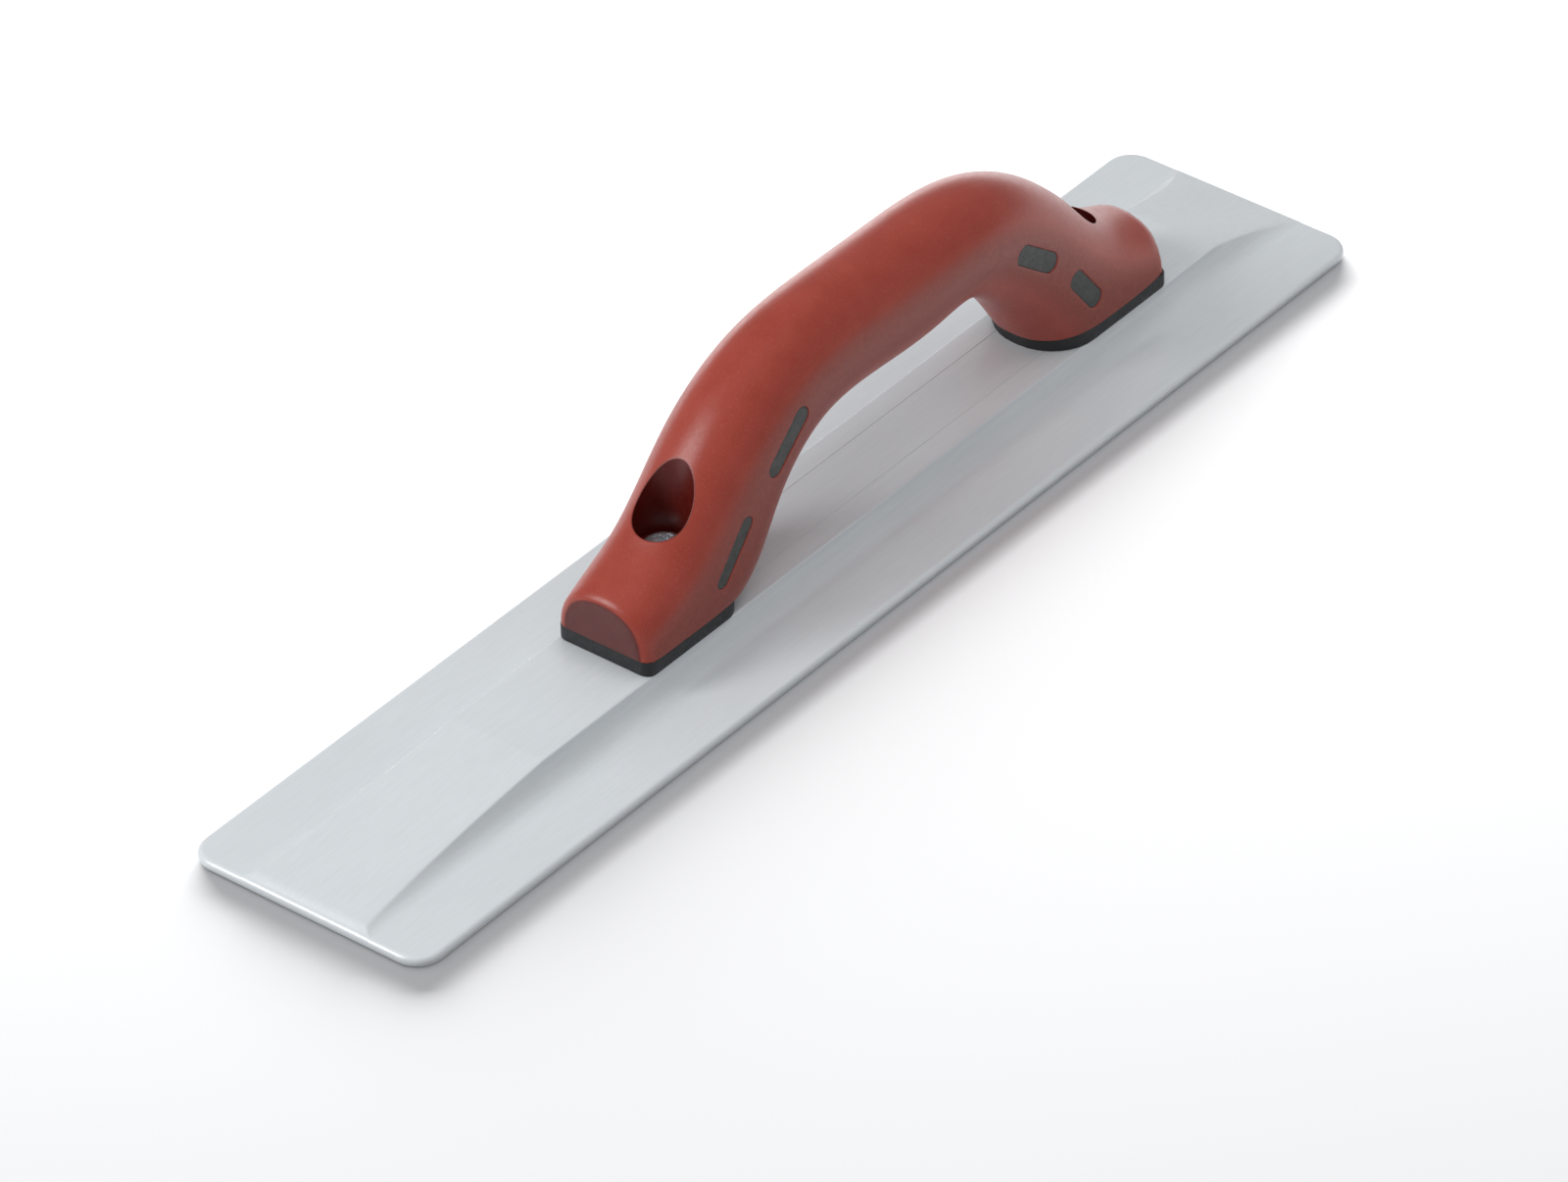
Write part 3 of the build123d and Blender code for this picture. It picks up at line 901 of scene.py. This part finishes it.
def raise_pad(shell, ring, opening):
    """Fills a window with a pad, from the core's surface to just below the grip's."""
    edge = opening.outline(-PAD_ROUND)
    ring = shell.follow(
        ring,
        opening.thrown(opening.outline(0), PAD_RECESS + PAD_ROUND),
        opening.thrown(opening.outline(-BEND * PAD_ROUND), PAD_RECESS + BEND * PAD_ROUND),
        opening.thrown(edge, PAD_RECESS),
    )
    rows, columns = len(opening.rows) - 1, len(opening.columns) - 1
    near, far = edge[: rows + 1], np.roll(edge, -rows - columns, axis=0)[: rows + 1][::-1]
    right = np.roll(edge, -rows, axis=0)[: columns + 1]
    left = np.roll(edge, columns, axis=0)[: columns + 1][::-1]
    # the pad's inner points, blended from its four sides
    s = (np.arange(rows + 1) / rows)[:, None, None]
    t = (np.arange(columns + 1) / columns)[None, :, None]
    plan = near[:, None] * (1 - t) + far[:, None] * t + left * (1 - s) + right * s
    plan -= (near[0] * (1 - s) + near[-1] * s) * (1 - t) + (far[0] * (1 - s) + far[-1] * s) * t
    inner = shell.add(opening.thrown(plan[1:-1, 1:-1].reshape(-1, 2), PAD_RECESS))
    grid = np.zeros((rows + 1, columns + 1), int)
    grid[1:-1, 1:-1] = np.array(inner).reshape(rows - 1, columns - 1)
    grid[:-1, 0] = ring[:rows]
    grid[-1, :-1] = ring[rows : rows + columns]
    grid[:0:-1, -1] = ring[rows + columns : 2 * rows + columns]
    grid[0, :0:-1] = ring[2 * rows + columns :]
    shell.grid(grid)


core_shell = HandleShell()
core_rings, core_seats = core_shell.add_layer(inner_surface, SKIN)
for name, opening in openings.items():
    if not opening.upright:
        raise_pad(core_shell, core_rings[name], opening)
for end, seat in zip(SCREW_X, core_seats):
    pocket = openings[f"{end}_pocket"]
    to_shank = SHANK_HOLE - POCKET_RADIUS
    hole = core_shell.follow(
        core_rings[f"{end}_pocket"],
        pocket.level_ring(LINING, CORE_FLOOR),
        pocket.level_ring(to_shank, CORE_FLOOR),
        pocket.level_ring(to_shank, -BASE_THICKNESS),
    )
    centre = core_shell.place(hole).mean(axis=0)
    levels = [(BASE_ROUND, 0), (BEND * BASE_ROUND, -BEND * BASE_ROUND), (0, -BASE_ROUND)]
    levels += [(shrink, -BASE_THICKNESS - z) for shrink, z in levels[::-1]]
    flange = [at_height(flange_outline(end, shrink), z) for shrink, z in levels]
    lip = core_shell.add(flange[0])
    core_shell.zip_flat(seat, lip, centre)
    core_shell.zip_flat(core_shell.follow(lip, *flange[1:]), hole, centre)
core = core_shell.build("handle_core_moulding")
settle(core, "handle_core")

# %% [markdown]
# ## Screws
# Each foot is held by a quarter inch machine screw with a domed head and a cross recess,
# zinc plated. The head is turned like a part on a lathe, and the recess is driven into
# it by moving points: on a fine round grid, those inside a cross go down, and the arms
# of the cross taper towards its bottom as a real one does. Under the head, a helical
# thread is worked out point by point from the turn and the height of each.

# %% Screw meshes
HEAD_RADIUS = 6.2
HEAD_HEIGHT = 4.4
HEAD_DOME = 2.6
WASHER_THICKNESS = 1.6
HEAD_SEAT = CORE_FLOOR + WASHER_THICKNESS
RECESS_SPAN = 6.6
RECESS_WIDTH = 1.5
RECESS_DEPTH = 2.4
RECESS_SIDE_TAPER = 0.16  # how far the walls lean in over the full depth
RECESS_END_TAPER = 0.42
HEAD_STEP = 0.12  # between the rings of the head
HEAD_MARGIN = 0.5  # beyond the last of them
NECK = 1.2  # plain shank under the head
THREAD_RADIUS = 3.1
THREAD_DEPTH = 0.55
THREAD_PITCH = 1.27
THREAD_START = 1.5  # below the head; the thread deepens over the same length
THREAD_END = 0.9  # above the tip
THREAD_FADE = 1.2
THREAD_RINGS = 8  # for each turn
POINT_INSET = 0.93
SCREW_TIP = 4.2  # above the table
TURN_POINTS = 96


def dome_height(radius):
    """Height of the head's upper face above its seat."""
    ball = (HEAD_RADIUS**2 + HEAD_DOME**2) / (2 * HEAD_DOME)
    return HEAD_HEIGHT - ball + sqrt(ball**2 - radius**2)


def recess_depth(x, y):
    """Depth of the cross recess at a point, with steep tapering walls."""
    depth = 0
    for run, across in ((abs(x), abs(y)), (abs(y), abs(x))):
        side = (RECESS_WIDTH / 2 - across) / RECESS_SIDE_TAPER
        end = (RECESS_SPAN / 2 - run) / RECESS_END_TAPER
        depth = max(depth, min(side, end, 1))
    return RECESS_DEPTH * max(depth, 0)


def screw_shell(x):
    """A pan head screw standing at x in the handle's frame."""
    shell = HandleShell()
    shares = np.arange(TURN_POINTS) / TURN_POINTS
    circle = np.column_stack([np.cos(2 * pi * shares), np.sin(2 * pi * shares)])

    def level(radius, z):
        """A round ring above the head's seat; its radius and height may vary round it."""
        plan = circle * np.reshape(radius, (-1, 1)) + (x, 0)
        return np.column_stack([plan, np.broadcast_to(HEAD_SEAT + z, TURN_POINTS)])

    rings = []
    for radius in np.arange(HEAD_STEP, HEAD_RADIUS - HEAD_MARGIN, HEAD_STEP):
        depths = np.array([recess_depth(*point) for point in radius * circle])
        rings.append(level(radius, dome_height(radius) - depths))
    first = shell.add(rings[0])
    middle = shell.add([(x, 0, HEAD_SEAT + HEAD_HEIGHT - RECESS_DEPTH)])[0]
    for i in range(TURN_POINTS):
        shell.faces.append((first[i], first[(i + 1) % TURN_POINTS], middle))
    # the rounded brim and the underside, each as (distance inwards, height)
    brim = dome_height(HEAD_RADIUS)
    profile = [(0.28, dome_height(HEAD_RADIUS - 0.28) - 0.02), (0.07, brim - 0.03)]
    profile += [(0, brim - 0.25), (0, 0.3), (0.3, 0)]
    rings += [level(HEAD_RADIUS - inwards, z) for inwards, z in profile]
    core_radius = THREAD_RADIUS - THREAD_DEPTH
    rings += [level(core_radius, 0), level(core_radius, -NECK)]
    length = HEAD_SEAT + SEAT_Z - SCREW_TIP
    for z in np.arange(-THREAD_START, THREAD_END - length, -THREAD_PITCH / THREAD_RINGS):
        taper = min(1, (-NECK - z) / THREAD_START, (length + z) / THREAD_FADE)
        wave = np.abs((z / THREAD_PITCH + shares) % 1 * 2 - 1)
        rings.append(level(THREAD_RADIUS - THREAD_DEPTH * (1 - wave * taper), z))
    rings.append(level(THREAD_RADIUS - POINT_INSET, -length))
    shell.faces.append(tuple(shell.follow(first, *rings[1:])))
    return shell


def one_each(shape, kind, node):
    """One such piece for each foot, settled in place of its plain node."""
    pieces = []
    for end, x in SCREW_X.items():
        pieces.append(shape(x - HANDLE_X).build(f"{end}_{kind}", crease=30))
        settle(pieces[-1], f"{end}_{node}")
    return pieces


screws = one_each(screw_shell, "pan_head_screw", "screw")

# %% [markdown]
# ## Lock washers
# Under each head sits a split spring washer: a bar of nearly square section wound into
# one turn and cut across at a slant. Pressed flat by the screw, it shows its slit.

# %% Washer meshes
WASHER_OUTER = 6.1
WASHER_INNER = 3.25
WASHER_SLIT = 1.0
SLIT_PLACE = radians(25)
SLIT_SLANT = 0.16  # turn from its lower to its upper edge, in radians
WASHER_EDGE = 0.15
WASHER_STEPS = 72


def washer_shell(x):
    """A split lock washer on the core's floor at x."""
    shell = HandleShell()
    low, high = CORE_FLOOR, CORE_FLOOR + WASHER_THICKNESS
    e = WASHER_EDGE
    section = [(WASHER_INNER + e, low), (WASHER_OUTER - e, low), (WASHER_OUTER, low + e)]
    section += [(WASHER_OUTER, high - e), (WASHER_OUTER - e, high), (WASHER_INNER + e, high)]
    section += [(WASHER_INNER, high - e), (WASHER_INNER, low + e)]
    rings = []
    for i in range(WASHER_STEPS + 1):
        ring = []
        for radius, z in section:
            gap = (WASHER_SLIT / 2) / radius
            slant = SLIT_SLANT * (z - low) / WASHER_THICKNESS
            turn = SLIT_PLACE + gap + slant + (2 * pi - 2 * gap) * i / WASHER_STEPS
            ring.append((x + radius * cos(turn), radius * sin(turn), z))
        rings.append(ring)
    first = shell.add(rings[0])
    last = shell.follow(first, *rings[1:])
    shell.faces += [tuple(first), tuple(last)]
    return shell


washers = one_each(washer_shell, "split_washer", "lock_washer")

# %% [markdown]
# ## Finishes
# Every finish is a small network of procedural nodes: one or two noises in the object's
# own space, spread by a ramp into colour, roughness or a bump. Real moulded rubber is
# never one flat colour: it has a fine grain, a slow mottling, and slightly shinier and
# duller patches. `Finish` keeps the few steps that all the finishes share.

# %% Finish helper
NOISE_SPAN = (0.3, 0.7)  # most of a noise's values lie between these


class Finish:
    """A Principled material with helpers for procedural colour, roughness and bump."""

    def __init__(self, name, **constants):
        self.material = bpy.data.materials.new(name)
        self.material.use_nodes = True
        self.nodes = self.material.node_tree.nodes
        self.shader = self.nodes["Principled BSDF"]
        coordinates = self.nodes.new("ShaderNodeTexCoord").outputs
        self.space, self.facing = coordinates["Object"], coordinates["Normal"]
        for socket, value in constants.items():
            self.shader.inputs[socket.replace("_", " ")].default_value = value

    def feed(self, socket, value):
        """Gives a socket a value, or joins it to another socket."""
        if isinstance(value, bpy.types.NodeSocket):
            self.material.node_tree.links.new(value, socket)
        else:
            socket.default_value = value

    def node(self, kind, inputs, **settings):
        """A new node, with its settings and its inputs."""
        node = self.nodes.new(f"ShaderNode{kind}")
        for name, value in settings.items():
            setattr(node, name, value)
        for name, value in inputs.items():
            self.feed(node.inputs[name], value)
        return node

    def noise(self, size, detail=2.0, stretch=(1, 1, 1)):
        """A noise whose features are about that many millimetres across."""
        place = self.node("Mapping", {"Vector": self.space, "Scale": stretch}).outputs["Vector"]
        inputs = {"Vector": place, "Scale": 1 / (size * MM), "Detail": detail}
        return self.node("TexNoise", inputs).outputs["Fac"]

    def along(self, axis, source):
        """One coordinate of a place or of a surface's direction."""
        return self.node("SeparateXYZ", {"Vector": source}).outputs[axis]

    def spread(self, value, span, result=(0, 1)):
        """Carries a span of values over to another span."""
        limits = dict(zip(("From Min", "From Max", "To Min", "To Max"), (*span, *result)))
        return self.node("MapRange", {"Value": value, **limits}).outputs["Result"]

    def turned_to(self, axis, low, high):
        """Rises from 0 to 1 as the surface turns to face along an axis, either way."""
        size = self.node("Math", {0: self.along(axis, self.facing)}, operation="ABSOLUTE")
        return self.ramp(size.outputs[0], (low, (0,)), (high, (1,)))

    def risen(self, low, high):
        """Rises from 0 to 1 between two heights above the table, in millimetres."""
        return self.spread(self.along("Z", self.space), (low * MM, high * MM))

    def round_axis(self, x, radius):
        """1 within a radius of an upright axis at x, fading to 0 over half a millimetre."""
        offset = {0: self.space, 1: (1, 1, 0), 2: (-x * MM, 0, 0)}
        flat = self.node("VectorMath", offset, operation="MULTIPLY_ADD").outputs["Vector"]
        reach = self.node("VectorMath", {0: flat}, operation="LENGTH").outputs["Value"]
        return self.spread(reach, ((radius + 0.5) * MM, radius * MM))

    def ramp(self, value, *stops):
        """Colours or greys spread over a value; each stop is (position, colour)."""
        node = self.node("ValToRGB", {"Fac": value})
        for element, (position, colour) in zip(node.color_ramp.elements, stops):
            element.position = position
            element.color = (*colour, 1) if len(colour) == 3 else (*colour * 3, 1)
        return node.outputs["Color"]

    def mottled(self, noise, dark, light):
        """Two colours or greys spread over a noise."""
        return self.ramp(noise, *zip(NOISE_SPAN, (dark, light)))

    def blend(self, kind, amount, one, two):
        """Mixes two colours; the amount is a number or a socket."""
        inputs = {0: amount, 6: one, 7: two}
        return self.node("Mix", inputs, data_type="RGBA", blend_type=kind).outputs[2]

    def colour(self, value):
        self.feed(self.shader.inputs["Base Color"], value)

    def roughness(self, value, low, high):
        """Roughness between two bounds, following a noise."""
        self.feed(self.shader.inputs["Roughness"], self.spread(value, NOISE_SPAN, (low, high)))

    def bump(self, *layers):
        """Stacks bumps; each layer is (value, height in mm)."""
        below = {}
        for value, height in layers:
            bump = self.node("Bump", {"Distance": height * MM, "Height": value, **below})
            below = {"Normal": bump.outputs["Normal"]}
        self.feed(self.shader.inputs["Normal"], below["Normal"])

    def put_on(self, *pieces):
        for piece in pieces:
            piece.data.materials.clear()
            piece.data.materials.append(self.material)
        print(f"{self.material.name}: {len(self.nodes)} nodes on {len(pieces)} piece(s)")


# %% [markdown]
# ### Brick red rubber
# The grip is satin, brick red and slightly chalky. Its colour wanders a little, light
# specks of pigment show close by, and its grain breaks up the highlight. Shade is painted
# into the colour: the upright flanks get a darker, duller red, and the feet's end faces
# and the pockets' walls get a dark maroon.

# %% Grip finish
FLANK_TURN = (0.9, 0.99)  # how squarely a surface faces sideways
FACE_TURN = (0.94, 0.985)  # how squarely it faces along the float

rubber = Finish("brick_red_rubber", Specular_IOR_Level=0.38)
mottle = rubber.mottled(rubber.noise(9, 3), (0.262, 0.034, 0.02), (0.292, 0.043, 0.027))
pigment = rubber.mottled(rubber.noise(5, 2), (0.3, 0.06, 0.042), (0.36, 0.09, 0.065))
specks = rubber.ramp(rubber.noise(0.55, 1), (0.55, (0,)), (0.8, (0.5,)))
speckled = rubber.blend("MIX", specks, mottle, pigment)
# painted shade: surfaces that face squarely sideways get this darker, duller red
flank_painted_shade = rubber.mottled(rubber.noise(1.2, 3), (0.18, 0.025, 0.014), (0.225, 0.036, 0.021))
flank_shaded = rubber.blend("MIX", rubber.turned_to("Y", *FLANK_TURN), speckled, flank_painted_shade)
# painted shade: a dark maroon for the feet's upright end faces and the pockets' walls
painted_shade_maroon = rubber.mottled(rubber.noise(2, 3), (0.075, 0.005, 0.003), (0.09, 0.008, 0.005))
red = rubber.blend("MIX", rubber.turned_to("X", *FACE_TURN), flank_shaded, painted_shade_maroon)
# painted shade inside each screw pocket, within its radius of the screw's axis
for x in SCREW_X.values():
    red = rubber.blend("MIX", rubber.round_axis(x, POCKET_RADIUS), red, painted_shade_maroon)
rubber.colour(red)
rubber.roughness(rubber.noise(1.6, 4), 0.3, 0.38)
rubber.bump((rubber.noise(0.9, 3), 0.02), (rubber.noise(0.35, 1), 0.006))
rubber.put_on(grip)

# %% [markdown]
# ### Magnesium
# The blade is cast magnesium alloy, polished and then sealed with a thin clear coat, so
# it looks pale grey rather than mirror-like, and shows soft reflections. Very fine
# long marks from polishing run along it as faint streaks of colour, and the casting is
# slightly clouded.

# %% Blade finish
sealing = {"Coat_Weight": 0.35, "Coat_Roughness": 0.09}
magnesium = Finish("sealed_magnesium", Metallic=0.05, IOR=1.5, **sealing)
clouding = magnesium.noise(30, 3, (0.5, 1, 1))
cloud = magnesium.mottled(clouding, (0.57, 0.6, 0.62), (0.59, 0.62, 0.64))
grain = magnesium.ramp(magnesium.noise(0.8, 2, (0.06, 1, 1)), (0.35, (0.965,)), (0.65, (1,)))
magnesium.colour(magnesium.blend("MULTIPLY", 1, cloud, grain))
magnesium.roughness(magnesium.noise(14, 3, (0.4, 1, 1)), 0.3, 0.38)
magnesium.put_on(blade)

# %% [markdown]
# ### Core plastic
# The core is glass-filled nylon with a dull moulded grain, dark grey in the bars that fill
# the windows. Low down, in the flanges under the feet, shade is painted into it, so there
# it is nearly black.

# %% Core finish
GREY_SPAN = (0.35, 0.7)
PADS_START = (15, 18)  # heights between which one grey becomes the other

nylon = Finish("dark_core_plastic", Specular_IOR_Level=0.4)
greys = (0.032, 0.034, 0.032), (0.048, 0.05, 0.047)
pad_grey = nylon.ramp(nylon.noise(2.5, 4), *zip(GREY_SPAN, greys))
# painted shade: low down, in the flanges, the core is nearly black
shade_blacks = (0.008, 0.009, 0.01), (0.014, 0.015, 0.016)
flange_painted_shade = nylon.ramp(nylon.noise(4, 3), *zip(GREY_SPAN, shade_blacks))
nylon.colour(nylon.blend("MIX", nylon.risen(*PADS_START), flange_painted_shade, pad_grey))
nylon.roughness(nylon.noise(1.2, 3), 0.42, 0.6)
nylon.bump((nylon.noise(0.6, 3), 0.03))
nylon.put_on(core)

# %% [markdown]
# ### Zinc plate
# The screws are bright zinc and the washers a duller one, both faintly uneven.

# %% Steel finishes
bright = Finish("bright_zinc_plate", Metallic=0.85)
bright.colour(bright.mottled(bright.noise(1.5, 3), (0.78, 0.78, 0.82), (0.9, 0.9, 0.93)))
bright.roughness(bright.noise(3, 1), 0.16, 0.24)
bright.bump((bright.noise(0.7, 2), 0.003))
bright.put_on(*screws)

dull = Finish("dull_zinc_plate", Metallic=1)
dull.colour(dull.mottled(dull.noise(1, 3), (0.42, 0.42, 0.43), (0.6, 0.6, 0.61)))
dull.roughness(dull.noise(0.6, 3), 0.3, 0.5)
dull.bump((dull.noise(0.5, 2), 0.012))
dull.put_on(*washers)

# %% [markdown]
# ## Which light reaches what
# The low light would throw long shadows over the blade, so it reaches only the table,
# and only the blade stands in its way: that gives the float its short shadow. The
# overhead and left lights reach only the float, which leaves that shadow dark.


# %% Light linking
def name_pieces(name, *pieces):
    """A set of objects that a light can be tied to."""
    group = bpy.data.collections.new(name)
    for piece in pieces:
        group.objects.link(piece)
    return group


float_pieces = name_pieces("float_pieces", blade, grip, core, *screws, *washers)
overhead_light.light_linking.receiver_collection = float_pieces
left_light.light_linking.receiver_collection = float_pieces
table_light.light_linking.receiver_collection = name_pieces("table_only", floor)
table_light.light_linking.blocker_collection = name_pieces("blade_only", blade)
print("low light: table only, shadow of the blade only; the other two: float only")

# %% [markdown]
# ## Size of the model
# The visual model must stay inside the frame's box; both boxes are printed.

# %% Sizes of the frame and the model
model_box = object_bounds()
boxes = {"cad": [list(v) for v in cad_box], "model": [list(v) for v in model_box]}
print("frame box", boxes["cad"])
print("model box", boxes["model"])
